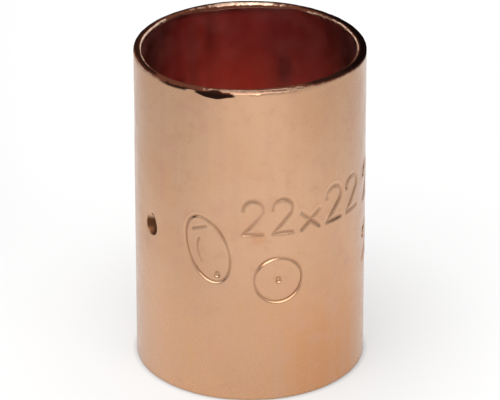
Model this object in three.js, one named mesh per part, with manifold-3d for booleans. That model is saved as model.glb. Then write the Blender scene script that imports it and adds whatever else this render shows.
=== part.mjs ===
// A straight solder coupling for 22 mm copper pipe: one length of tube with a socket at each end,
// two punched pipe stops at mid-length, and shallow stamped marks on the outside.
//
// Millimetres, +Z up along the bore. The origin is the centre of the lower end face.
// Azimuth is in degrees round the tube from the front (-Y), positive towards +X.

import * as THREE from 'three';
import { mergeVertices } from 'three/addons/utils/BufferGeometryUtils.js';
import Module from 'manifold-3d';

// The tube.
const PIPE_DIAMETER = 22;
const SOLDER_GAP = 0.1; // on the diameter
const WALL = 0.9;
const LENGTH = 34.7;
const OUTER_EDGE_RADIUS = 0.22;
const INNER_EDGE_RADIUS = 0.12;

// Pipe stops: a round-nosed punch driven in from outside, once on each side at mid-length.
const STOP_AZIMUTHS = [ - 58.5, 121.5 ];
const PUNCH_RADIUS = 1.05;
const DISH_DEPTH = 0.8;
const BUMP_RADIUS = 1.5;
const BUMP_HEIGHT = 0.75;

// Stamped marks, all of one depth and line width. A row's height is that of its characters' feet.
const MARK_DEPTH = 0.12;
const MARK_WIDTH = 0.3;
const CHARACTER_PITCH = 14.8; // degrees
const ROWS = [
	{ text: '22x22', azimuth: 31.2, foot: 19.25, tall: 3.8, wide: 2.1 },
	{ text: '22', azimuth: 89.4, foot: 18.8, tall: 3.8, wide: 2.1 },
	{ text: '22', azimuth: 89.4, foot: 11.8, tall: 3.8, wide: 2.1 },
];
const RING = { azimuth: 14.2, height: 13.92, radius: 2.6 };
const OVAL = { azimuth: - 21.6, height: 17.25, halfLong: 3.82, halfShort: 2.2, lean: 20 };
const OVAL_BAR = { halfWide: 0.75, above: 2.5 };
const OVAL_DOT = { right: 0.1, below: 2.9 };
const DOT_RADIUS = 0.25;

// Fineness of the facets.
const TUBE_SEGMENTS = 96;
const EDGE_SEGMENTS = 3;
const PUNCH_SEGMENTS = 24;
const OUTLINE_SEGMENTS = 20;
const BOW_SEGMENTS = 8;
const DOT_SEGMENTS = 5;

const BORE_RADIUS = ( PIPE_DIAMETER + SOLDER_GAP ) / 2;
const OUTER_RADIUS = BORE_RADIUS + WALL;
const QUARTER = Math.PI / 2;

const wasm = await Module();
wasm.setup();

// A closed three.js geometry as a manifold-3d solid.
function toSolid( geometry ) {

	const bare = geometry.clone();
	bare.deleteAttribute( 'normal' );
	bare.deleteAttribute( 'uv' );
	const merged = mergeVertices( bare );
	return new wasm.Manifold( new wasm.Mesh( {
		numProp: 3,
		vertProperties: new Float32Array( merged.attributes.position.array ),
		triVerts: new Uint32Array( merged.index.array ),
	} ) );

}

function toGeometry( solid ) {

	const mesh = solid.getMesh();
	const geometry = new THREE.BufferGeometry();
	geometry.setAttribute( 'position', new THREE.BufferAttribute( mesh.vertProperties, 3 ) );
	geometry.setIndex( new THREE.BufferAttribute( mesh.triVerts, 1 ) );
	geometry.computeVertexNormals();
	return geometry;

}

// A rounded edge of the wall's section: a quarter circle that starts at the given quarter turn.
function roundedEdge( centreX, centreY, radius, quarter ) {

	const points = [];
	for ( let i = 0; i <= EDGE_SEGMENTS; i ++ ) {

		const angle = ( quarter + i / EDGE_SEGMENTS ) * QUARTER;
		const x = centreX + radius * Math.cos( angle );
		const y = centreY + radius * Math.sin( angle );
		points.push( new THREE.Vector2( x, y ) );

	}

	return points;

}

// The tube wall's section, turned about the axis.
function tubeWall() {

	const outer = OUTER_RADIUS - OUTER_EDGE_RADIUS;
	const inner = BORE_RADIUS + INNER_EDGE_RADIUS;
	const section = [
		...roundedEdge( outer, OUTER_EDGE_RADIUS, OUTER_EDGE_RADIUS, 3 ),
		...roundedEdge( outer, LENGTH - OUTER_EDGE_RADIUS, OUTER_EDGE_RADIUS, 0 ),
		...roundedEdge( inner, LENGTH - INNER_EDGE_RADIUS, INNER_EDGE_RADIUS, 1 ),
		...roundedEdge( inner, INNER_EDGE_RADIUS, INNER_EDGE_RADIUS, 2 ),
	];
	section.push( section[ 0 ].clone() );
	return toSolid( new THREE.LatheGeometry( section, TUBE_SEGMENTS ).rotateX( QUARTER ) );

}

// A plain round bar on the tube's axis, with facets that line up with the tube's.
function coreBar( radius ) {

	const bar = new THREE.CylinderGeometry( radius, radius, LENGTH, TUBE_SEGMENTS );
	return toSolid( bar.rotateX( QUARTER ).translate( 0, 0, LENGTH / 2 ) );

}

// Takes a shape drawn with +Y up and +Z outwards to its place on the tube.
function ontoTube( geometry, azimuth, height, radius ) {

	const angle = THREE.MathUtils.degToRad( azimuth );
	const across = new THREE.Vector3( Math.cos( angle ), Math.sin( angle ), 0 );
	const up = new THREE.Vector3( 0, 0, 1 );
	const outward = new THREE.Vector3( Math.sin( angle ), - Math.cos( angle ), 0 );
	const place = new THREE.Matrix4().makeBasis( across, up, outward );
	place.setPosition( outward.clone().multiplyScalar( radius ).setZ( height ) );
	return toSolid( geometry.clone().applyMatrix4( place ) );

}

function punchBall( radius, azimuth, nose ) {

	const ball = new THREE.SphereGeometry( radius, PUNCH_SEGMENTS, PUNCH_SEGMENTS / 2 );
	return ontoTube( ball, azimuth, LENGTH / 2, nose + radius );

}

// A pipe stop leaves a bump in the bore and a dish in the skin.
function punchStop( tube, azimuth ) {

	const bump = punchBall( BUMP_RADIUS, azimuth, BORE_RADIUS - BUMP_HEIGHT );
	const dish = punchBall( PUNCH_RADIUS, azimuth, OUTER_RADIUS - DISH_DEPTH );
	const bumpInTheBore = bump.intersect( coreBar( BORE_RADIUS + WALL / 2 ) );
	return tube.add( bumpInTheBore ).subtract( dish );

}

// A flat band of MARK_WIDTH along an open line, half a width longer at each end.
function band( line ) {

	const half = MARK_WIDTH / 2;
	const left = [];
	const right = [];
	line.forEach( ( point, i ) => {

		const before = line[ Math.max( i - 1, 0 ) ];
		const after = line[ Math.min( i + 1, line.length - 1 ) ];
		const along = after.clone().sub( before ).normalize();
		const aside = new THREE.Vector2( - along.y, along.x ).multiplyScalar( half );
		const end = i === 0 ? - half : i === line.length - 1 ? half : 0;
		const middle = point.clone().addScaledVector( along, end );
		left.push( middle.clone().add( aside ) );
		right.unshift( middle.clone().sub( aside ) );

	} );
	return new THREE.Shape( [ ...right, ...left ] );

}

// A closed band of MARK_WIDTH along an ellipse about the origin, its top leaning left by lean degrees.
function ovalBand( halfWide, halfTall, lean ) {

	const half = MARK_WIDTH / 2;
	const turn = THREE.MathUtils.degToRad( lean );
	const outside = new THREE.Shape();
	const inside = new THREE.Path();
	outside.absellipse( 0, 0, halfWide + half, halfTall + half, 0, 4 * QUARTER, false, turn );
	inside.absellipse( 0, 0, halfWide - half, halfTall - half, 0, 4 * QUARTER, false, turn );
	outside.holes.push( inside );
	return outside;

}

// A small filled disc.
function dot( middle ) {

	const points = [];
	for ( let i = 0; i < 2 * DOT_SEGMENTS; i ++ ) {

		const angle = Math.PI * i / DOT_SEGMENTS;
		const rim = new THREE.Vector2( Math.cos( angle ), Math.sin( angle ) );
		points.push( rim.multiplyScalar( DOT_RADIUS ).add( middle ) );

	}

	return new THREE.Shape( points );

}

function straight( x0, y0, x1, y1 ) {

	return band( [ new THREE.Vector2( x0, y0 ), new THREE.Vector2( x1, y1 ) ] );

}

// The bands of each character: w is half its width and h its height, and its foot is at y = 0.
const CHARACTERS = {

	2( w, h ) {

		const hook = new THREE.Path();
		hook.absarc( 0, h - w, w, 2 * QUARTER, - QUARTER / 3, true );
		hook.lineTo( - w * 0.9, w * 0.1 );
		return [ band( hook.getPoints( BOW_SEGMENTS ) ), straight( - w, 0, w, 0 ) ];

	},

	x( w, h ) {

		return [ straight( - w, 0, w, h / 2 ), straight( - w, h / 2, w, 0 ) ];

	},

};

// Presses flat bands into the skin, to MARK_DEPTH all over.
function press( tube, shapes, azimuth, height ) {

	const reach = 1;
	const options = { depth: 2 * reach, bevelEnabled: false, curveSegments: OUTLINE_SEGMENTS };
	const uncut = coreBar( OUTER_RADIUS - MARK_DEPTH );
	return shapes.reduce( ( part, shape ) => {

		const prism = new THREE.ExtrudeGeometry( shape, options );
		const stamp = ontoTube( prism, azimuth, height, OUTER_RADIUS - reach );
		return part.subtract( stamp.subtract( uncut ) );

	}, tube );

}

function pressRow( tube, row ) {

	const first = row.azimuth - CHARACTER_PITCH * ( row.text.length - 1 ) / 2;
	return [ ...row.text ].reduce( ( part, character, i ) => {

		const shapes = CHARACTERS[ character ]( row.wide / 2, row.tall );
		return press( part, shapes, first + i * CHARACTER_PITCH, row.foot );

	}, tube );

}

function pressRing( tube ) {

	const shapes = [ ovalBand( RING.radius, RING.radius, 0 ), dot( new THREE.Vector2() ) ];
	return press( tube, shapes, RING.azimuth, RING.height );

}

// The oval, with a bar near its top and a dot near its bottom that lean with it.
function pressOval( tube ) {

	const leaning = ( x, y ) => {

		const turn = THREE.MathUtils.degToRad( OVAL.lean );
		return new THREE.Vector2( x, y ).rotateAround( new THREE.Vector2(), turn );

	};

	const barEnds = [ - OVAL_BAR.halfWide, OVAL_BAR.halfWide ];
	const shapes = [
		ovalBand( OVAL.halfShort, OVAL.halfLong, OVAL.lean ),
		band( barEnds.map( x => leaning( x, OVAL_BAR.above ) ) ),
		dot( leaning( OVAL_DOT.right, - OVAL_DOT.below ) ),
	];
	return press( tube, shapes, OVAL.azimuth, OVAL.height );

}

const steps = [
	...STOP_AZIMUTHS.map( azimuth => tube => punchStop( tube, azimuth ) ),
	...ROWS.map( row => tube => pressRow( tube, row ) ),
	pressRing,
	pressOval,
];
const body = steps.reduce( ( tube, step ) => step( tube ), tubeWall() );

const copper = new THREE.MeshStandardMaterial( { color: 0xcda07d, roughness: 0.3, metalness: 1 } );
const couplingBody = new THREE.Mesh( toGeometry( body ), copper );
couplingBody.name = 'coupling_body';

const coupling = new THREE.Group();
coupling.add( couplingBody );

export default coupling;
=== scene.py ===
"""A straight 22 mm copper solder coupling, standing on a pale table.

The tube wall is one closed mesh: a satin skin with stamped marks and two punched pipe stops, two
deburred rims, and a glossy bore. It stands for the CAD node coupling_body, whose box sets its size.
Shapes are worked out in millimetres and turned into metres when the mesh is made. Azimuth is in
degrees round the tube from the front (-Y), positive towards +X.
"""

import math

import bpy
import numpy as np
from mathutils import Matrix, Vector


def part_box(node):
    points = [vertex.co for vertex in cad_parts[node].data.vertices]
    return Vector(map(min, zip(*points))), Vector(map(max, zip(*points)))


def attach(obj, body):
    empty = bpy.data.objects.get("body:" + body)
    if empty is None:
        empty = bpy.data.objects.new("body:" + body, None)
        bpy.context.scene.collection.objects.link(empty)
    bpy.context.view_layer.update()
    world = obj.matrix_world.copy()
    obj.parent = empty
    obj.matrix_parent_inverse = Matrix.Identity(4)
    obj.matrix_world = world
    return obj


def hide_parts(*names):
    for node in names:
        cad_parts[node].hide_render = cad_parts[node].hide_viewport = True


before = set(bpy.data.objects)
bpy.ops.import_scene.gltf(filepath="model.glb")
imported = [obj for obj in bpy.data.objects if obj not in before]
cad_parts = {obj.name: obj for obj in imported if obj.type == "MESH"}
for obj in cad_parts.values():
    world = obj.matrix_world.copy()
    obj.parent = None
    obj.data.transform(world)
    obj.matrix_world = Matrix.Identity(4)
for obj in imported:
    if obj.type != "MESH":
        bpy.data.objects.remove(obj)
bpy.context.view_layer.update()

MM = 0.001
NODE = "coupling_body"

# The tube, from the CAD box.
low, high = (Vector(corner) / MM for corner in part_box(NODE))
OUTER_RADIUS = (high.x - low.x) / 2
LENGTH = high.z - low.z
WALL = 0.9
BORE_RADIUS = OUTER_RADIUS - WALL
GIRTH = 2 * math.pi * OUTER_RADIUS

# Rims. Each edge is uneven: azimuth, width, height, and how round it is, from 1 flat to 2 round.
TOP_OUT_EDGE = (
    (-180, 0.42, 0.08, 2), (-160, 0.40, 0.08, 2), (-150, 0.34, 0.08, 2), (-128, 0.18, 0.10, 2),
    (-96, 0.12, 0.12, 2), (-86, 0.24, 0.20, 2), (-76, 0.40, 0.32, 2), (-64, 0.38, 0.30, 2),
    (-54, 0.28, 0.22, 2), (-46, 0.15, 0.13, 2), (-28, 0.15, 0.14, 2), (-18, 0.42, 0.26, 1.3),
    (-4, 0.46, 0.20, 1.3), (18, 0.46, 0.20, 1.3), (26, 0.36, 0.16, 1.4), (34, 0.20, 0.14, 2),
    (60, 0.16, 0.16, 2), (80, 0.10, 0.10, 2), (148, 0.10, 0.10, 2), (160, 0.36, 0.08, 2),
)
TOP_IN_EDGE = (
    (-180, 0.30, 0.46, 1.4), (-160, 0.30, 0.44, 1.4), (-150, 0.26, 0.26, 1.6), (-130, 0.26, 0.24, 1.6),
    (-118, 0.14, 0.20, 2), (-80, 0.14, 0.22, 2), (-56, 0.12, 0.14, 2), (-26, 0.10, 0.06, 2),
    (60, 0.10, 0.10, 2), (90, 0.16, 0.24, 2), (146, 0.14, 0.22, 2), (154, 0.14, 0.16, 2),
    (166, 0.28, 0.38, 1.4),
)
BASE_OUT_EDGE = ((0, 0.20, 0.20, 2),)
BASE_IN_EDGE = ((0, 0.13, 0.13, 2),)
WIDEST_EDGE = 0.74
EDGE_SPREAD = 0.15  # the share by which an edge's width and height vary
RIM_DROOP = 0.02  # how far deburring took the upper rim's face down, more in some places than others
RIM_LUMP = 0.01

# The cut is a little out of square: the upper rim stands higher round this azimuth.
RISE = 0.5
RISE_AZIMUTH = 15
RISE_REACH = 85

# The bore is a little off the tube's axis, towards -X.
BORE_SHIFT = 0.09

# Oxide on the upper rim: azimuth, then how much lies at the foot and at the top of the outer edge, on the
# face, and on the upper and lower half of the inner edge. It is brown from about 0.4, dark from about 1
# and black from about 1.6.
RIM_SOOT = (
    (-180, 1.2, 1.2, 0.1, 0.0, 0.55), (-165, 1.2, 1.2, 0.1, 0.0, 0.55), (-160, 1.2, 1.2, 0.4, 0.25, 0.7),
    (-140, 1.2, 1.2, 0.6, 0.4, 0.8), (-131, 1.2, 1.2, 0.8, 0.7, 0.8), (-127, 1.2, 1.2, 0.8, 0.0, 0.1),
    (-114, 1.2, 1.2, 1.1, 0.1, 0.0), (-96, 1.2, 1.2, 1.1, 0.1, 0.0), (-86, 0.3, 1.2, 1.2, 0.2, 0.0),
    (-78, 0.0, 1.2, 1.2, 0.2, 0.0), (-66, 0.0, 1.2, 1.2, 0.3, 0.1), (-58, 0.1, 1.0, 1.0, 0.7, 0.6),
    (-52, 0.2, 0.6, 0.5, 0.7, 0.7), (-44, 0.9, 0.7, 0.5, 0.7, 0.7), (-30, 0.9, 0.55, 0.5, 0.8, 0.8),
    (-25, 0.6, 0.5, 0.45, 0.8, 0.8), (-20, 0.2, 0.15, 0.3, 0.8, 0.8), (-16, 0.0, 0.1, 0.5, 0.8, 0.8),
    (18, 0.0, 0.1, 0.5, 0.8, 0.8), (26, 0.1, 0.3, 0.6, 0.8, 0.8), (34, 0.3, 0.9, 1.1, 1.0, 1.0),
    (60, 0.4, 1.3, 1.5, 1.0, 0.8), (75, 0.8, 1.8, 1.8, 0.4, 0.0), (95, 1.8, 1.8, 1.8, 0.2, 0.0),
    (125, 1.8, 1.8, 1.8, 0.2, 0.0), (140, 1.3, 1.3, 1.2, 0.4, 0.0), (150, 1.2, 1.2, 0.9, 0.6, 0.5),
    (157, 1.2, 1.2, 0.5, 0.4, 0.6), (166, 1.2, 1.2, 0.35, 0.25, 0.55), (172, 1.2, 1.2, 0.1, 0.0, 0.55),
)

# A black patch on the upper rim's outer edge.
SOOT_PATCH = {"azimuth": -17.0, "half_wide": 11.5, "drop": 0.08, "half_tall": 0.44}

# Painted shade: a soft darker patch on the near side of the upper rim, which leaves its far side
# brighter.
NEAR_RIM_SHADE = {"azimuth": 0, "half_wide": 75, "height": LENGTH, "half_tall": 9.0}

# Soft patches of colour on the skin.
# Painted warm reflection: a soft, more orange patch low on the right of the skin.
WARM_REFLECTION = {"azimuth": 42, "half_wide": 34, "height": 3.0, "half_tall": 10.0}
# Painted paler reflection: soft greyer patches low on the left and at the front of the skin.
PALE = (
    {"azimuth": -60, "half_wide": 24, "height": 2.0, "half_tall": 11.0, "amount": 0.8},
    {"azimuth": 10, "half_wide": 16, "height": 2.0, "half_tall": 8.0, "amount": 0.4},
)
# Painted shade: soft darker patches on the skin, strongest towards its sides, with one below and left of
# the near pipe stop.
PAINTED_SHADE = (
    {"azimuth": 82, "half_wide": 24, "height": 26.0, "half_tall": 20.0, "amount": 1.0},
    {"azimuth": -88, "half_wide": 22, "height": 18.0, "half_tall": 40.0, "amount": 0.9},
    {"azimuth": -24, "half_wide": 22, "height": 14.0, "half_tall": 6.0, "amount": 0.35},
    {"azimuth": 55, "half_wide": 24, "height": 14.0, "half_tall": 6.0, "amount": 0.3},
    {"azimuth": -7.5, "half_wide": 5, "height": 22.0, "half_tall": 12.0, "amount": 0.2},
    {"azimuth": -63, "half_wide": 5, "height": 15.8, "half_tall": 1.8, "amount": 0.5},
)

# Soft patches of colour in the bore.
# Painted glow: a brighter, redder patch low on the bore's far wall.
BORE_GLOW = {"azimuth": -172, "half_wide": 26, "height": 25.0, "half_tall": 4.5}
# Stains in the bore, and one painted reflection.
STAINS_AND_REFLECTION = (
    {"azimuth": 148, "half_wide": 24, "height": 31.0, "half_tall": 5.0, "amount": 0.6},
    # Painted reflection of the near pipe stop's bump, on the far wall.
    {"azimuth": 160, "half_wide": 5, "height": 27.6, "half_tall": 2.0, "amount": 1.0},
    {"azimuth": -148, "half_wide": 3, "height": 27.5, "half_tall": 5.0, "amount": 0.4},
    {"azimuth": -158, "half_wide": 3.5, "height": 31.2, "half_tall": 2.4, "amount": 0.7},
    {"azimuth": 171, "half_wide": 4, "height": 30.3, "half_tall": 1.8, "amount": 0.5},
)
# Painted light: soft brighter patches on the bore's sides.
BORE_SIDE_LIGHT = (
    {"azimuth": -105, "half_wide": 30, "height": 28.0, "half_tall": 12.0, "amount": 1.0},
    {"azimuth": 105, "half_wide": 30, "height": 28.0, "half_tall": 12.0, "amount": 1.0},
)

# Low waves in the skin and in the bore: height, wavelength and seed.
SKIN_WAVES = ((0.006, 11.0, 12), (0.0015, 2.6, 13))
BORE_WAVES = ((0.004, 7.0, 21), (0.0012, 1.8, 22))

# Pipe stops. The dish is taller above its deepest point than below it.
STOP_AZIMUTHS = (-58.5, 121.5)
STOP_HEIGHT = LENGTH / 2
DISH_HALF_WIDE = 1.0
DISH_ABOVE = 1.65
DISH_BELOW = 0.98
DISH_DEPTH = 0.85
SADDLE_RADIUS = 2.3
SADDLE_DEPTH = 0.1
BUMP_RADIUS = 1.35
BUMP_SPREAD = 0.62  # the share of that radius at which the bump has fallen to about a third
BUMP_HEIGHT = 0.75
STOP_SQUEEZE = 0.8  # how wide the saddle and the bump are for their height

# Stamped marks. Half is a groove's half width, and deep its depth. A lip stands along each of its sides,
# and its crest is LIP_OUT half widths from the groove's middle.
BROAD = {"half": 0.21, "deep": 0.1}
DEEP = {"half": 0.2, "deep": 0.2}
FINE = {"half": 0.15, "deep": 0.1}
FAINT = {"half": 0.17, "deep": 0.045}
LIP_SHARE = 0.16
LIP_OUT = 2.1
LIP_STEEPNESS = 2.1
CHARACTER_PITCH = 14.8
ROWS = (
    {"text": "22x22", "azimuth": 31.2, "foot": 19.25, "tall": 3.8, "wide": 2.1, "groove": BROAD},
    {"text": "22", "azimuth": 89.4, "foot": 18.8, "tall": 3.8, "wide": 2.1, "groove": DEEP},
    {"text": "22", "azimuth": 89.4, "foot": 11.8, "tall": 3.8, "wide": 2.1, "groove": DEEP},
)
RING = {"azimuth": 14.2, "height": 13.92, "half_wide": 2.53, "half_tall": 2.5}
OVAL = {"azimuth": -21.6, "height": 17.2, "half_long": 3.77, "half_short": 2.2, "lean": 20}
OVAL_BAR = {"half_wide": 0.75, "above": 2.5}
OVAL_DOT = {"right": 0.1, "below": 2.9}
OVAL_SCRATCH = {"right": 0.2, "below": 0.4, "half_wide": 1.3, "half_tall": 2.0, "start": 120, "end": 200}
DOT_RADIUS = 0.2
PIT = {"azimuth": 4.4, "height": 18.75, "radius": 0.75, "deep": 0.012, "steepness": 8}

# How hard the marks are struck: a wave about 1, kept between the weakest and the strongest.
STRIKE_WAVES = ((0.15, 3.5, 11),)
WEAKEST_STRIKE, STRONGEST_STRIKE = 0.6, 1.3

# Distances to the marks are worked out up to MARK_REACH from them, and taken as FAR beyond that.
MARK_REACH = 2.0
FAR = 9.0

# Cells of the mesh: columns round the tube, and rows along each stretch of the wall's section. A cell is
# halved both ways up to FINEST times.
COLUMNS = 192
FINEST = 3
SKIN, TOP_OUT, TOP_FACE, TOP_IN, BORE, BASE_IN, BASE_FACE, BASE_OUT = range(8)
ROWS_OF = {SKIN: 86, TOP_OUT: 4, TOP_FACE: 3, TOP_IN: 4, BORE: 54, BASE_IN: 2, BASE_FACE: 2, BASE_OUT: 3}

# The wall's materials, in the order of the mesh's slots.
SKIN_SLOT, RIM_SLOT, BORE_SLOT = range(3)

# How close to each kind of detail the cells of each size are split.
NEVER = -1.0
FINE_BANDS = (0.8, 0.45, 0.26)
BROAD_BANDS = (1.0, 0.7, NEVER)
DISH_BANDS = (2.8, 1.9, 1.45)
BUMP_BANDS = (2.4, 1.6, NEVER)
SOOT_SPLITS = 2  # how many times the skin's cells are split round the black patch

# Colours, as linear red, green and blue.
SKIN_COLOURS = {
    "copper": (0.67, 0.407, 0.254),
    "warm": (0.66, 0.38, 0.221),
    # Painted warm reflection: the skin's colour towards its foot.
    "low": (0.63, 0.34, 0.175),
    # Painted warm reflection, low on the right.
    "warm_reflection": (0.60, 0.285, 0.13),
    "streak": (0.60, 0.36, 0.24),
    "pink": (0.63, 0.345, 0.235),
    "blotch": (0.575, 0.315, 0.18),
    # Painted paler reflection, low on the left and front.
    "pale": (0.64, 0.405, 0.272),
    # Painted shade for the soft darker patches.
    "painted_shade": (0.43, 0.27, 0.19),
    "pit": (0.60, 0.29, 0.15),
    # Painted shade in the grooves of the stamped marks.
    "groove": (0.31, 0.155, 0.085),
    # Painted shade in the pipe stops' dishes.
    "dish": (0.105, 0.042, 0.019),
    "soot": (0.022, 0.008, 0.005),
}
RIM_COLOURS = {
    "light": (0.62, 0.43, 0.32),
    "dark": (0.42, 0.27, 0.19),
    # Painted shade on the near side of the upper rim.
    "near_rim_shade": (0.41, 0.23, 0.15),
    "brown oxide": (0.085, 0.027, 0.015),
    "dark oxide": (0.018, 0.0065, 0.0045),
    "black oxide": (0.004, 0.0018, 0.0015),
}
BORE_COLOURS = {
    "red": (0.80, 0.39, 0.34),
    "purple": (0.76, 0.385, 0.38),
    "brown": (0.58, 0.31, 0.27),
    "streak": (0.60, 0.30, 0.27),
    # Painted glow low on the far wall.
    "bore_glow": (0.94, 0.335, 0.23),
    # Painted light on the bore's sides.
    "bare": (0.84, 0.56, 0.52),
    # Stains, and a painted reflection of a pipe stop.
    "dull": (0.40, 0.24, 0.215),
}
TABLE_GREY = (0.29, 0.29, 0.29)
TABLE_HALF_WIDE = 40.0  # metres
TABLE_DROP = 0.02
POOL_MIDDLE = 9  # how far towards +X the table's own light is brightest
STUDIO_DARK = 0.015

# The camera stands in front of the tube, and aims a little below its middle.
ELEVATION = 26.4
DISTANCE = 457
LENS = 316
AIM_DROP = 0.11


# ---------------------------------------------------------------- marks


def arc(x, y, half_wide, half_tall, start, end, steps=32):
    """Points along an arc of an ellipse, from one angle in degrees to another."""
    angles = np.radians(np.linspace(start, end, steps + 1))
    return np.stack([x + half_wide * np.cos(angles), y + half_tall * np.sin(angles)], 1)


def ellipse(x, y, half_wide, half_tall, steps=96):
    return arc(x, y, half_wide, half_tall, 0, 360, steps)


def dot(x, y):
    return ellipse(x, y, DOT_RADIUS, DOT_RADIUS, 12)


def line(*points):
    return np.array(points, float)


def character(name, wide, tall):
    """The centre lines of a character that stands on y = 0, about x = 0."""
    w, h = wide / 2, tall
    if name == "2":
        hook = np.concatenate([arc(0, h - w, w, w, 180, -30), line((-w * 0.9, w * 0.1))])
        return [hook, line((-w, 0), (w, 0))]
    return [line((-w, 0), (w, h / 2)), line((-w, h / 2), (w, 0))]


def leaning(points, degrees):
    """Points turned about the origin so that their top leans to the left."""
    c, s = math.cos(math.radians(degrees)), math.sin(math.radians(degrees))
    return points @ np.array([[c, s], [-s, c]])


def at(lines, azimuth, height, groove):
    """A mark: lines moved to their place on the unrolled skin, with the groove that they are cut by."""
    offset = np.array([math.radians(azimuth) * OUTER_RADIUS, height])
    return [points + offset for points in lines], groove


def all_marks():
    """Each mark as lines on the unrolled skin, in millimetres of girth and height, and its groove."""
    marks = []
    for row in ROWS:
        first = row["azimuth"] - CHARACTER_PITCH * (len(row["text"]) - 1) / 2
        for i, name in enumerate(row["text"]):
            lines = character(name, row["wide"], row["tall"])
            marks.append(at(lines, first + i * CHARACTER_PITCH, row["foot"], row["groove"]))
    ring = ellipse(0, 0, RING["half_wide"], RING["half_tall"])
    marks.append(at([ring, dot(0, 0)], RING["azimuth"], RING["height"], FINE))
    outline = ellipse(0, 0, OVAL["half_short"], OVAL["half_long"])
    low_dot = dot(OVAL_DOT["right"], -OVAL_DOT["below"])
    bar = line((-OVAL_BAR["half_wide"], OVAL_BAR["above"]), (OVAL_BAR["half_wide"], OVAL_BAR["above"]))
    scratch = arc(
        OVAL_SCRATCH["right"], -OVAL_SCRATCH["below"],
        OVAL_SCRATCH["half_wide"], OVAL_SCRATCH["half_tall"],
        OVAL_SCRATCH["start"], OVAL_SCRATCH["end"],
    )
    for lines, groove in (([outline, low_dot], FINE), ([bar, scratch], FAINT)):
        lines = [leaning(points, OVAL["lean"]) for points in lines]
        marks.append(at(lines, OVAL["azimuth"], OVAL["height"], groove))
    return marks


MARKS = all_marks()


def distance_to(lines, girth, height):
    """How far each point of the unrolled skin is from the nearest of these lines, up to FAR."""
    corners = np.concatenate(lines)
    nearest = np.full(girth.shape, FAR)
    near = np.flatnonzero(
        (girth > corners[:, 0].min() - MARK_REACH)
        & (girth < corners[:, 0].max() + MARK_REACH)
        & (height > corners[:, 1].min() - MARK_REACH)
        & (height < corners[:, 1].max() + MARK_REACH)
    )
    if len(near):
        p = np.stack([girth[near], height[near]], 1)[:, None]
        for points in lines:
            a, b = points[:-1][None], points[1:][None]
            along = ((p - a) * (b - a)).sum(2) / ((b - a) ** 2).sum(2)
            foot = a + np.clip(along, 0, 1)[..., None] * (b - a)
            found = np.sqrt(((p - foot) ** 2).sum(2)).min(1)
            nearest[near] = np.minimum(nearest[near], found)
    return nearest


def from_stops(azimuth, height, radius):
    """Each point's offset round and along the tube from the nearest pipe stop."""
    turns = [(azimuth - stop + 180) % 360 - 180 for stop in STOP_AZIMUTHS]
    turn = np.where(abs(turns[0]) < abs(turns[1]), *turns)
    return np.radians(turn) * radius, height - STOP_HEIGHT


# ---------------------------------------------------------------- seeded unevenness


def ripple(points, wavelength, seed, waves=28):
    """Smooth noise of about unit height: plane waves in random directions."""
    draw = np.random.default_rng(seed)
    ways = draw.normal(size=(waves, 3))
    ways /= np.linalg.norm(ways, axis=1, keepdims=True)
    spread = draw.uniform(0.7, 1.4, waves)[:, None]
    phases = draw.uniform(0, 2 * math.pi, waves)
    turns = points @ (ways * spread * 2 * math.pi / wavelength).T + phases
    return np.cos(turns).sum(1) / math.sqrt(waves / 2)


def ripples(points, waves):
    """The sum of these waves, each a height, a wavelength and a seed."""
    return sum(height * ripple(points, wavelength, seed) for height, wavelength, seed in waves)


def on_cylinder(azimuth, height, radius=OUTER_RADIUS):
    turn = np.radians(azimuth)
    return np.stack([radius * np.sin(turn), -radius * np.cos(turn), height], 1)


def edge_size(azimuth, table, seed):
    """A rim edge's width and height, which the deburring left uneven, and its roundness."""
    ways, *columns = np.array(table).T
    wide, tall, roundness = [np.interp(azimuth, ways, column, period=360) for column in columns]
    uneven = 1 + EDGE_SPREAD * np.clip(ripple(on_cylinder(azimuth, 0 * azimuth), 6.0, seed), -1.5, 1.5)
    return np.minimum(wide * uneven, WIDEST_EDGE), np.minimum(tall * uneven, WIDEST_EDGE), roundness


# ---------------------------------------------------------------- the wall's shape


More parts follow.
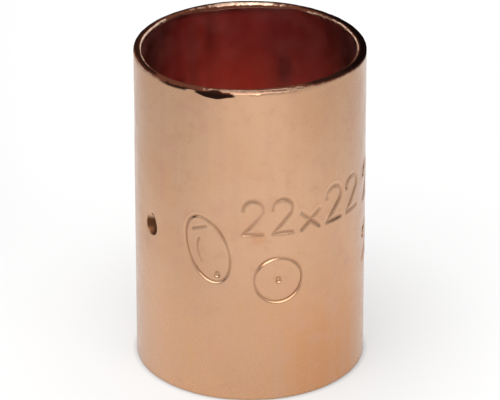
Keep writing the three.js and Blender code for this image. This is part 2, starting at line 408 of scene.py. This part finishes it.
def section(stretch, t, azimuth):
    """The plain wall's radius and height, and its outward normal, at t along one stretch."""
    turn = np.clip((azimuth - RISE_AZIMUTH) / RISE_REACH, -1, 1)
    top = LENGTH + RISE * (0.5 + 0.5 * np.cos(math.pi * turn))
    top -= RIM_DROOP * (1 + 0.5 * ripple(on_cylinder(azimuth, 0 * t), 14.0, 5))
    out_top = edge_size(azimuth, TOP_OUT_EDGE, 1)
    in_top = edge_size(azimuth, TOP_IN_EDGE, 2)
    out_base = edge_size(azimuth, BASE_OUT_EDGE, 3)
    in_base = edge_size(azimuth, BASE_IN_EDGE, 4)
    outer, inner = OUTER_RADIUS, BORE_RADIUS - BORE_SHIFT * np.sin(np.radians(azimuth))

    def straight(r0, z0, r1, z1, nr, nz):
        """A line from (r0, z0) to (r1, z1)."""
        return r0 + t * (r1 - r0), z0 + t * (z1 - z0), nr + 0 * t, nz + 0 * t

    def rounded(cr, cz, edge, start):
        """A quarter of a superellipse about (cr, cz), from the angle start in degrees."""
        wide, tall, roundness = edge
        turn = np.radians(start + 90 * t)
        c, s = np.cos(turn), np.sin(turn)
        right, up = np.sign(c) * abs(c) ** (2 / roundness), np.sign(s) * abs(s) ** (2 / roundness)
        nr = np.sign(c) * abs(c) ** (2 - 2 / roundness) / wide
        nz = np.sign(s) * abs(s) ** (2 - 2 / roundness) / tall
        long = np.hypot(nr, nz)
        return cr + wide * right, cz + tall * up, nr / long, nz / long

    made = {
        SKIN: straight(outer, out_base[1], outer, top - out_top[1], 1, 0),
        TOP_OUT: rounded(outer - out_top[0], top - out_top[1], out_top, 0),
        TOP_FACE: straight(outer - out_top[0], top, inner + in_top[0], top, 0, 1),
        TOP_IN: rounded(inner + in_top[0], top - in_top[1], in_top, 90),
        BORE: straight(inner, top - in_top[1], inner, in_base[1], -1, 0),
        BASE_IN: rounded(inner + in_base[0], in_base[1], in_base, 180),
        BASE_FACE: straight(inner + in_base[0], 0 * t, outer - out_base[0], 0 * t, 0, -1),
        BASE_OUT: rounded(outer - out_base[0], out_base[1], out_base, 270),
    }
    return [np.select([stretch == s for s in made], [made[s][k] for s in made]) for k in range(4)]


def skin_relief(azimuth, height):
    """How far the skin stands out from the plain tube, with masks of the grooves, of the painted shade in
    the dishes, and of the pit.
    """
    girth = np.radians(azimuth) * OUTER_RADIUS
    points = on_cylinder(azimuth, height)
    strength = np.clip(1.0 + ripples(points, STRIKE_WAVES), WEAKEST_STRIKE, STRONGEST_STRIKE)
    cut, lip, groove = np.zeros((3, len(azimuth)))
    for lines, tool in MARKS:
        d = distance_to(lines, girth, height) / tool["half"]
        cut = np.maximum(cut, tool["deep"] * np.exp(-(d**2)))
        beside = np.exp(-((LIP_STEEPNESS * (d - LIP_OUT)) ** 2))
        lip = np.maximum(lip, LIP_SHARE * tool["deep"] * beside)
        groove = np.maximum(groove, np.exp(-(d**2)))
    across, up = from_stops(azimuth, height, OUTER_RADIUS)
    tall = np.where(up > 0, DISH_ABOVE, DISH_BELOW)
    from_middle = np.hypot(across / DISH_HALF_WIDE, up / tall)
    # The dish is steep-sided at its foot and slopes gently at its top.
    blend = np.clip(0.5 + up / DISH_ABOVE, 0, 1)
    dish = np.clip(1 - from_middle**2, 0, 1) ** (0.55 + 0.75 * blend)
    saddle = np.exp(-((np.hypot(across, up * STOP_SQUEEZE) / SADDLE_RADIUS) ** 2))
    pit_girth = math.radians(PIT["azimuth"]) * OUTER_RADIUS
    from_pit = np.hypot(girth - pit_girth, height - PIT["height"]) / PIT["radius"]
    pit = 1 / (1 + from_pit ** PIT["steepness"])
    waves = ripples(points, SKIN_WAVES) * near_ends(height)
    relief = waves + strength * (lip - cut) - PIT["deep"] * pit
    relief = relief - (DISH_DEPTH - SADDLE_DEPTH) * dish - SADDLE_DEPTH * saddle
    # Painted shade darkens the dish, and fades over its upper part.
    shade_fades = np.clip((up / DISH_ABOVE - 0.15) / 0.5, 0, 1)
    dish_shade = np.clip((1.06 - from_middle) / 0.1, 0, 1) * (1 - 0.85 * shade_fades)
    return relief, groove * strength, dish_shade, pit


def bore_relief(azimuth, height):
    """How far the bore's surface stands in from the plain bore."""
    points = on_cylinder(azimuth, height, BORE_RADIUS)
    across, up = from_stops(azimuth, height, BORE_RADIUS)
    bump = np.exp(-((np.hypot(across, STOP_SQUEEZE * up) / (BUMP_SPREAD * BUMP_RADIUS)) ** 2))
    return BUMP_HEIGHT * bump + ripples(points, BORE_WAVES) * near_ends(height)


def rim_relief(azimuth, radius, height):
    """The lumps that the cutter left on the rims."""
    points = on_cylinder(azimuth, height, radius)
    return RIM_LUMP * (0.7 * ripple(points, 1.5, 31) + 0.5 * ripple(points, 0.5, 32, 40))


def near_ends(height, reach=1.2):
    """0 at the tube's ends, rising smoothly to 1 within reach of them, so that the surfaces meet."""
    x = np.clip(np.minimum(height, LENGTH - height) / reach, 0, 1)
    return x * x * (3 - 2 * x)


# ---------------------------------------------------------------- the mesh's cells


ROW_STARTS = np.cumsum([0, *ROWS_OF.values()])


def place_on_wall(u, v):
    """Turns grid coordinates, in coarsest cells, into azimuth, stretch and how far along it."""
    stretch = np.clip(np.searchsorted(ROW_STARTS, v, side="right") - 1, SKIN, BASE_OUT)
    rows = np.diff(ROW_STARTS)[stretch]
    t = (v - ROW_STARTS[stretch]) / rows
    return u / COLUMNS * 360 - 180, stretch, t


def is_too_coarse(u, v, cell, level):
    """Whether cells of this level should be split at these middles, for the detail close to them."""
    azimuth, stretch, t = place_on_wall(u, v)
    radius, height, _, _ = section(stretch, t, azimuth)
    on_skin, in_bore = stretch == SKIN, stretch == BORE
    girth = np.radians(azimuth) * OUTER_RADIUS
    reach = 0.75 * cell * GIRTH / COLUMNS
    to_stop = np.hypot(*from_stops(azimuth, height, radius)) - reach
    fine = on_skin & (to_stop < DISH_BANDS[level]) | in_bore & (to_stop < BUMP_BANDS[level])
    for lines, tool in MARKS:
        bands = BROAD_BANDS if tool is BROAD else FINE_BANDS
        fine |= on_skin & (distance_to(lines, girth, height) - reach < bands[level])
    # These cells reach past the black patch, to hold its ragged edge.
    if level < SOOT_SPLITS:
        beside_soot = abs(azimuth - SOOT_PATCH["azimuth"]) < 1.3 * SOOT_PATCH["half_wide"]
        fine |= on_skin & beside_soot & (LENGTH - height < 3 * SOOT_PATCH["half_tall"])
    if level == 0:
        fine |= ~on_skin & ~in_bore
    return fine


def leaf_cells():
    """The cells of each size as (size, lower corners), in the finest cells' units."""
    size = 2**FINEST
    a, b = np.meshgrid(np.arange(COLUMNS), np.arange(ROW_STARTS[-1]), indexing="ij")
    cells = np.stack([a.ravel(), b.ravel()], 1) * size
    leaves = []
    for level in range(FINEST):
        middles = (cells + size / 2) / 2**FINEST
        split = is_too_coarse(middles[:, 0], middles[:, 1], size / 2**FINEST, level)
        leaves.append((size, cells[~split]))
        size //= 2
        quarters = [(0, 0), (size, 0), (0, size), (size, size)]
        cells = np.concatenate([cells[split] + quarter for quarter in quarters])
    leaves.append((size, cells))
    return leaves


def wall_grid():
    """Grid coordinates of the vertices, and the faces, whose sides take in the corners of finer cells."""
    leaves = leaf_cells()
    wide, tall = COLUMNS * 2**FINEST, int(ROW_STARTS[-1]) * 2**FINEST
    used = np.zeros((wide, tall), bool)
    for size, cells in leaves:
        for dx, dy in ((0, 0), (size, 0), (0, size), (size, size)):
            used[(cells[:, 0] + dx) % wide, (cells[:, 1] + dy) % tall] = True
    number = np.where(used, np.cumsum(used).reshape(used.shape) - 1, -1)
    faces, middles = [], []
    for size, cells in leaves:
        steps = range(size)
        ring = [(i, 0) for i in steps] + [(size, i) for i in steps]
        ring += [(size - i, size) for i in steps] + [(0, size - i) for i in steps]
        found = np.stack(
            [number[(cells[:, 0] + dx) % wide, (cells[:, 1] + dy) % tall] for dx, dy in ring], 1
        )
        faces += [[n for n in row if n >= 0] for row in found.tolist()]
        middles.append((cells + size / 2) / 2**FINEST)
    corners = np.argwhere(used) / 2**FINEST
    return corners, faces, np.concatenate(middles)


def wall_surface(u, v):
    """Points on the finished wall, and how strongly each kind of detail shows there."""
    azimuth, stretch, t = place_on_wall(u, v)
    radius, height, nr, nz = section(stretch, t, azimuth)
    relief, groove, dish, pit = np.zeros((4, len(u)))
    on_skin, in_bore = stretch == SKIN, stretch == BORE
    on_rim = ~on_skin & ~in_bore
    found = skin_relief(azimuth[on_skin], height[on_skin])
    relief[on_skin], groove[on_skin], dish[on_skin], pit[on_skin] = found
    relief[in_bore] = bore_relief(azimuth[in_bore], height[in_bore])
    lumps = rim_relief(azimuth[on_rim], radius[on_rim], height[on_rim])
    # The lumps fade out where a rim's edge meets the skin or the bore, and are low on the lower face.
    share = np.ones(len(u))
    share = np.where((stretch == TOP_OUT) | (stretch == BASE_IN), t**0.5, share)
    share = np.where((stretch == TOP_IN) | (stretch == BASE_OUT), 1 - t**3, share)
    share = np.where(stretch == BASE_FACE, 0.3, share)
    relief[on_rim] = lumps * share[on_rim]
    points = on_cylinder(azimuth, height + nz * relief, radius + nr * relief)
    # The groove and dish masks carry painted shade.
    masks = {"groove": groove, "dish": dish, "pit": pit}
    masks["soot"] = soot_on_rim(azimuth, height, stretch, t)
    # Painted warm reflection low on the right of the skin.
    masks["warm_reflection"] = patch_on(azimuth, height, WARM_REFLECTION) * on_skin
    # Painted paler reflection low on the skin.
    masks["pale"] = patches_on(azimuth, height, PALE) * on_skin
    # Painted shade in soft darker patches on the skin.
    masks["painted_shade"] = patches_on(azimuth, height, PAINTED_SHADE) * on_skin
    # Painted shade on the near side of the upper rim.
    masks["near_rim_shade"] = patch_on(azimuth, height, NEAR_RIM_SHADE) * on_rim
    # Painted glow low on the bore's far wall.
    masks["bore_glow"] = patch_on(azimuth, height, BORE_GLOW) * in_bore
    # Painted light on the bore's sides.
    masks["bare"] = patches_on(azimuth, height, BORE_SIDE_LIGHT) * in_bore
    # Stains in the bore, a duller bump at each pipe stop, and a painted reflection of the near pipe stop
    # on the far wall.
    from_stop = np.hypot(*from_stops(azimuth, height, BORE_RADIUS)) / BUMP_RADIUS
    masks["dull"] = np.maximum(patches_on(azimuth, height, STAINS_AND_REFLECTION), np.exp(-(from_stop**2))) * in_bore
    return points, masks


def patch_on(azimuth, height, patch):
    """A soft patch on the wall: 1 in its middle, fading to 0."""
    across = ((azimuth - patch["azimuth"] + 180) % 360 - 180) / patch["half_wide"]
    up = (height - patch["height"]) / patch["half_tall"]
    return np.exp(-(across**2) - up**2)


def patches_on(azimuth, height, patches):
    return np.max([patch["amount"] * patch_on(azimuth, height, patch) for patch in patches], axis=0)


def soot_on_rim(azimuth, height, stretch, t):
    """Where oxide lies: round the upper rim, and in a ragged patch on its outer edge."""
    ways, *columns = np.array(RIM_SOOT).T
    foot, out, face, high, low = [np.interp(azimuth, ways, column, period=360) for column in columns]
    # On the outer edge, the foot's amount turns into the top's. On the face, the nearer edge's turns
    # into the face's own. On the inner edge, the upper half's turns into the lower half's.
    outer = foot + (out - foot) * np.clip((t - 0.3) / 0.55, 0, 1)
    nearer = np.where(t < 0.5, out, high)
    flat = nearer + (face - nearer) * np.clip((0.5 - abs(t - 0.5)) / 0.35, 0, 1)
    inner = high + (low - high) * np.clip((t - 0.4) / 0.25, 0, 1)
    on_rim = np.select([stretch == TOP_OUT, stretch == TOP_FACE, stretch == TOP_IN], [outer, flat, inner])
    across = (azimuth - SOOT_PATCH["azimuth"]) / SOOT_PATCH["half_wide"]
    below = (LENGTH - height - SOOT_PATCH["drop"]) / SOOT_PATCH["half_tall"]
    ragged = 0.12 * ripple(on_cylinder(azimuth, height), 1.6, 41)
    patch = np.clip(2.2 * (1 - abs(across) ** 1.5 - below**2 + ragged), 0, 1.2)
    return np.maximum(on_rim, patch * (stretch <= TOP_OUT))


def coupling_mesh():
    corners, faces, middles = wall_grid()
    points, masks = wall_surface(corners[:, 0], corners[:, 1])
    mesh = bpy.data.meshes.new("coupling_wall")
    mesh.from_pydata((points * MM).tolist(), [], faces)
    for name, values in masks.items():
        mesh.attributes.new(name, "FLOAT", "POINT").data.foreach_set("value", values)
    stretch = place_on_wall(middles[:, 0], middles[:, 1])[1]
    is_skin, is_bore = (stretch == SKIN) | (stretch == BASE_OUT), stretch == BORE
    slots = np.select([is_skin, is_bore], [SKIN_SLOT, BORE_SLOT], RIM_SLOT)
    mesh.polygons.foreach_set("material_index", slots.astype(np.int32))
    mesh.shade_smooth()
    mesh.validate()
    return mesh


# ---------------------------------------------------------------- material nodes


def make(tree, kind, inputs=(), **settings):
    """A node with its settings and inputs, where an input is a plain value or another node's output."""
    item = tree.nodes.new(kind)
    for key, value in settings.items():
        setattr(item, key, value)
    for key, value in dict(inputs).items():
        if isinstance(value, bpy.types.NodeSocket):
            tree.links.new(value, item.inputs[key])
        else:
            item.inputs[key].default_value = value
    return item


def millimetres(tree, stretch=1.0):
    """The point on the object in millimetres, with its height times stretch."""
    place = make(tree, "ShaderNodeTexCoord").outputs["Object"]
    scale = (1 / MM, 1 / MM, stretch / MM)
    return make(tree, "ShaderNodeVectorMath", {0: place, 1: scale}, operation="MULTIPLY").outputs[0]


def noise(tree, where, scale, detail=2.0, roughness=0.5):
    inputs = {"Vector": where, "Scale": scale, "Detail": detail, "Roughness": roughness}
    return make(tree, "ShaderNodeTexNoise", inputs).outputs["Fac"]


def remap(tree, value, start, end, to_start=0.0, to_end=1.0):
    inputs = {"Value": value, "From Min": start, "From Max": end, "To Min": to_start, "To Max": to_end}
    return make(tree, "ShaderNodeMapRange", inputs, interpolation_type="SMOOTHSTEP").outputs[0]


def math_node(tree, operation, a, b):
    return make(tree, "ShaderNodeMath", {0: a, 1: b}, operation=operation).outputs[0]


def mixed(tree, factor, a, b):
    """Colour a where factor is 0 and b where it is 1."""
    colours = {6: a, 7: b}
    for key, value in colours.items():
        if not isinstance(value, bpy.types.NodeSocket):
            colours[key] = (*value, 1.0)
    item = make(tree, "ShaderNodeMix", {0: factor, **colours}, data_type="RGBA")
    return item.outputs[2]


def attribute(tree, name):
    return make(tree, "ShaderNodeAttribute", attribute_name=name).outputs["Fac"]


def bump(tree, height, depth):
    """Relief of that depth in millimetres."""
    inputs = {"Height": height, "Distance": depth * MM, "Strength": 1.0}
    return make(tree, "ShaderNodeBump", inputs).outputs[0]


def metal(name):
    material = bpy.data.materials.new(name)
    material.use_nodes = True
    shader = material.node_tree.nodes["Principled BSDF"]
    shader.inputs["Metallic"].default_value = 1.0
    return material, material.node_tree, shader


def connect(tree, shader, colour, roughness, normal):
    tree.links.new(colour, shader.inputs["Base Color"])
    tree.links.new(roughness, shader.inputs["Roughness"])
    tree.links.new(normal, shader.inputs["Normal"])


def copper_skin():
    """Drawn copper: faint streaks along the tube, soft warm blotches and black soot, with painted shade
    in the grooves, in the dishes and in soft patches towards the sides, and painted warm and paler
    reflection low down.
    """
    material, tree, shader = metal("copper_skin")
    place = millimetres(tree)
    drawn = millimetres(tree, 0.05)
    warm = remap(tree, noise(tree, place, 0.16, 3.0), 0.38, 0.68)
    colour = mixed(tree, warm, SKIN_COLOURS["copper"], SKIN_COLOURS["warm"])
    height = make(tree, "ShaderNodeSeparateXYZ", {0: place}).outputs[2]
    # Painted warm reflection: the skin grows more orange towards its foot.
    colour = mixed(tree, remap(tree, height, 2.0, 20.0, 0.6, 0.0), colour, SKIN_COLOURS["low"])
    # Painted warm reflection, more orange low on the right.
    warm_reflection = math_node(tree, "MULTIPLY", attribute(tree, "warm_reflection"), 0.9)
    colour = mixed(tree, warm_reflection, colour, SKIN_COLOURS["warm_reflection"])
    streaks = remap(tree, noise(tree, drawn, 0.9, 3.0), 0.35, 0.75, 0.0, 0.35)
    colour = mixed(tree, streaks, colour, SKIN_COLOURS["streak"])
    pink = remap(tree, noise(tree, place, 0.42, 4.0, 0.6), 0.5, 0.72, 0.0, 0.6)
    colour = mixed(tree, pink, colour, SKIN_COLOURS["pink"])
    blotches = remap(tree, noise(tree, place, 0.75, 4.0, 0.6), 0.52, 0.75, 0.0, 0.45)
    colour = mixed(tree, blotches, colour, SKIN_COLOURS["blotch"])
    # Painted paler reflection, low on the left and front.
    pale = math_node(tree, "MULTIPLY", attribute(tree, "pale"), 0.7)
    colour = mixed(tree, pale, colour, SKIN_COLOURS["pale"])
    # Painted shade in soft darker patches, strongest towards the sides.
    painted_shade = math_node(tree, "MULTIPLY", attribute(tree, "painted_shade"), 0.8)
    colour = mixed(tree, painted_shade, colour, SKIN_COLOURS["painted_shade"])
    pit = attribute(tree, "pit")
    colour = mixed(tree, math_node(tree, "MULTIPLY", pit, 0.5), colour, SKIN_COLOURS["pit"])
    # Painted shade darkens the grooves.
    groove = attribute(tree, "groove")
    colour = mixed(tree, remap(tree, groove, 0.2, 1.1, 0.0, 0.6), colour, SKIN_COLOURS["groove"])
    # Painted shade darkens the dishes, less towards their tops.
    dish = attribute(tree, "dish")
    colour = mixed(tree, remap(tree, dish, 0.05, 0.9), colour, SKIN_COLOURS["dish"])
    soot = attribute(tree, "soot")
    colour = mixed(tree, remap(tree, soot, 0.1, 0.7), colour, SKIN_COLOURS["soot"])
    satin = remap(tree, noise(tree, place, 0.5, 4.0, 0.6), 0.25, 0.75, 0.2, 0.32)
    soot_and_dish_shade = math_node(tree, "MAXIMUM", dish, soot)
    roughness = math_node(tree, "MAXIMUM", satin, remap(tree, soot_and_dish_shade, 0.1, 0.8, 0.0, 0.5))
    lines = bump(tree, noise(tree, drawn, 5.0, 2.0, 0.5), 0.0016)
    connect(tree, shader, colour, roughness, lines)
    return material


def copper_rim():
    """The cut end of the tube: bright where it is bare, and dull brown to black under oxide, with painted
    shade on its near side.
    """
    material, tree, shader = metal("copper_rim")
    place = millimetres(tree)
    darker = remap(tree, noise(tree, place, 1.6, 3.0, 0.6), 0.4, 0.65)
    colour = mixed(tree, darker, RIM_COLOURS["light"], RIM_COLOURS["dark"])
    # Painted shade darkens the near side of the rim.
    near_rim_shade = math_node(tree, "MULTIPLY", attribute(tree, "near_rim_shade"), 0.9)
    colour = mixed(tree, near_rim_shade, colour, RIM_COLOURS["near_rim_shade"])
    uneven = remap(tree, noise(tree, place, 2.0, 4.0, 0.6), 0.3, 0.7, -0.15, 0.15)
    soot = math_node(tree, "ADD", attribute(tree, "soot"), uneven)
    colour = mixed(tree, remap(tree, soot, 0.15, 0.4), colour, RIM_COLOURS["brown oxide"])
    colour = mixed(tree, remap(tree, soot, 0.65, 1.0), colour, RIM_COLOURS["dark oxide"])
    colour = mixed(tree, remap(tree, soot, 1.2, 1.6), colour, RIM_COLOURS["black oxide"])
    roughness = remap(tree, soot, 0.0, 0.35, 0.2, 0.65)
    burrs = bump(tree, noise(tree, place, 4.5, 3.0, 0.6), 0.02)
    connect(tree, shader, colour, roughness, burrs)
    tree.links.new(remap(tree, soot, 0.15, 0.45, 1.0, 0.0), shader.inputs["Metallic"])
    shader.inputs["Specular IOR Level"].default_value = 0.0
    return material


def copper_bore():
    """The bore: glossy copper under a thin red oxide, with purple and brown patches and stains, a painted
    glow low on the far wall, painted light on its sides, and a painted reflection of a pipe stop.
    """
    material, tree, shader = metal("copper_bore")
    place = millimetres(tree)
    drawn = millimetres(tree, 0.25)
    purple = remap(tree, noise(tree, drawn, 0.2, 3.0), 0.42, 0.6)
    colour = mixed(tree, purple, BORE_COLOURS["red"], BORE_COLOURS["purple"])
    brown = remap(tree, noise(tree, drawn, 0.4, 4.0, 0.6), 0.5, 0.72, 0.0, 0.8)
    colour = mixed(tree, brown, colour, BORE_COLOURS["brown"])
    streaks = remap(tree, noise(tree, millimetres(tree, 0.06), 0.7, 3.0), 0.45, 0.7, 0.0, 0.65)
    colour = mixed(tree, streaks, colour, BORE_COLOURS["streak"])
    # Painted glow low on the far wall.
    colour = mixed(tree, attribute(tree, "bore_glow"), colour, BORE_COLOURS["bore_glow"])
    # Painted light on the bore's sides.
    colour = mixed(tree, attribute(tree, "bare"), colour, BORE_COLOURS["bare"])
    # Stains, and a painted reflection of the near pipe stop on the far wall.
    colour = mixed(tree, attribute(tree, "dull"), colour, BORE_COLOURS["dull"])
    roughness = remap(tree, noise(tree, place, 0.4, 3.0), 0.25, 0.75, 0.12, 0.24)
    lines = bump(tree, noise(tree, drawn, 2.5, 3.0, 0.6), 0.002)
    connect(tree, shader, colour, roughness, lines)
    return material


# ---------------------------------------------------------------- the coupling


def make_coupling():
    mesh = coupling_mesh()
    # In the order of SKIN_SLOT, RIM_SLOT and BORE_SLOT.
    for material in (copper_skin(), copper_rim(), copper_bore()):
        mesh.materials.append(material)
    coupling = bpy.data.objects.new("coupling_wall", mesh)
    bpy.context.scene.collection.objects.link(coupling)
    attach(coupling, "root")
    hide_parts(NODE)


# ---------------------------------------------------------------- the studio


def pool_of_light(tree):
    """The table's own light: less to the sides, close to the tube, where they touch, and inside it."""
    place = make(tree, "ShaderNodeNewGeometry").outputs["Position"]
    flat = make(tree, "ShaderNodeVectorMath", {0: place, 1: (1, 1, 0)}, operation="MULTIPLY").outputs[0]
    far = make(tree, "ShaderNodeVectorMath", {0: flat}, operation="LENGTH").outputs["Value"]
    close = remap(tree, far, 1.0 * OUTER_RADIUS * MM, 2.8 * OUTER_RADIUS * MM, 0.84, 1.0)
    contact = remap(tree, far, 0.98 * OUTER_RADIUS * MM, 1.05 * OUTER_RADIUS * MM, 0.55, 1.0)
    side = make(tree, "ShaderNodeSeparateXYZ", {0: flat}).outputs[0]
    side = math_node(tree, "ABSOLUTE", math_node(tree, "SUBTRACT", side, POOL_MIDDLE * MM), 0.0)
    fade = remap(tree, side, 22 * MM, 90 * MM, 0.58, 0.26)
    return math_node(tree, "MULTIPLY", math_node(tree, "MULTIPLY", fade, close), contact)


def make_floor():
    """A wide pale table, lit a little from inside so that no hard shadow falls on it."""
    half, drop = TABLE_HALF_WIDE, TABLE_DROP * MM
    corners = [(-half, -half, -drop), (half, -half, -drop), (half, half, -drop), (-half, half, -drop)]
    mesh = bpy.data.meshes.new("table")
    mesh.from_pydata(corners, [], [(0, 1, 2, 3)])
    floor = bpy.data.objects.new("table", mesh)
    bpy.context.scene.collection.objects.link(floor)
    material = bpy.data.materials.new("table_white")
    material.use_nodes = True
    tree = material.node_tree
    shader = tree.nodes["Principled BSDF"]
    shader.inputs["Base Color"].default_value = (*TABLE_GREY, 1)
    shader.inputs["Roughness"].default_value = 0.9
    shader.inputs["Specular IOR Level"].default_value = 0.0
    shader.inputs["Emission Color"].default_value = (1, 1, 1, 1)
    tree.links.new(pool_of_light(tree), shader.inputs["Emission Strength"])
    material.cycles.emission_sampling = "NONE"
    mesh.materials.append(material)


def soft_box(tree, direction, half_angle, softness, strength, so_far):
    """Adds a round soft light in that direction of the sky to the light so far."""
    sight = make(tree, "ShaderNodeTexCoord").outputs["Generated"]
    aim = Vector(direction).normalized()
    facing = make(tree, "ShaderNodeVectorMath", {0: sight, 1: aim}, operation="DOT_PRODUCT")
    outside = math.cos(math.radians(half_angle + softness))
    inside = math.cos(math.radians(half_angle - softness))
    light = remap(tree, facing.outputs["Value"], outside, inside, 0.0, strength)
    return math_node(tree, "ADD", light, so_far)


def light_bar(tree, facing, bottom, top, strength, so_far):
    """Adds a long soft light across the front (facing -1) or the back (1), between two heights."""
    sight = make(tree, "ShaderNodeTexCoord").outputs["Generated"]
    _, along, up = make(tree, "ShaderNodeSeparateXYZ", {0: sight}).outputs
    ahead = remap(tree, math_node(tree, "MULTIPLY", along, facing), 0.3, 0.55, 0.0, strength)
    above = remap(tree, up, bottom - 0.1, bottom + 0.1)
    below = remap(tree, up, top + 0.1, top - 0.1)
    light = math_node(tree, "MULTIPLY", ahead, math_node(tree, "MULTIPLY", above, below))
    return math_node(tree, "ADD", light, so_far)


def make_sky():
    """A dark studio: soft light from overhead, long lights to the front and behind, and a faint glow
    low in front."""
    world = bpy.data.worlds.new("studio")
    world.use_nodes = True
    tree = world.node_tree
    overhead, low_front = (-0.3, -0.35, 1.0), (0.1, -1.0, 0.1)
    light = soft_box(tree, overhead, half_angle=37, softness=13, strength=2.2, so_far=STUDIO_DARK)
    light = light_bar(tree, facing=-1, bottom=0.32, top=0.75, strength=2.8, so_far=light)
    light = light_bar(tree, facing=1, bottom=0.05, top=0.85, strength=1.3, so_far=light)
    light = soft_box(tree, low_front, half_angle=60, softness=25, strength=0.4, so_far=light)
    background = tree.nodes["Background"]
    tree.links.new(light, background.inputs["Strength"])
    background.inputs["Color"].default_value = (1, 1, 1, 1)
    bpy.context.scene.world = world


def make_camera():
    lens = bpy.data.cameras.new("camera")
    lens.lens = LENS
    lens.clip_start, lens.clip_end = 0.01, 200
    camera = bpy.data.objects.new("camera", lens)
    bpy.context.scene.collection.objects.link(camera)
    turn = math.radians(ELEVATION)
    back = Vector((0, -math.cos(turn), math.sin(turn)))
    aim = Vector((0, 0, LENGTH / 2 - AIM_DROP))
    camera.location = (aim + back * DISTANCE) * MM
    camera.rotation_euler = (-back).to_track_quat("-Z", "Y").to_euler()
    bpy.context.scene.camera = camera


make_camera()
make_coupling()
make_floor()
make_sky()
bpy.context.scene.view_settings.view_transform = "Standard"
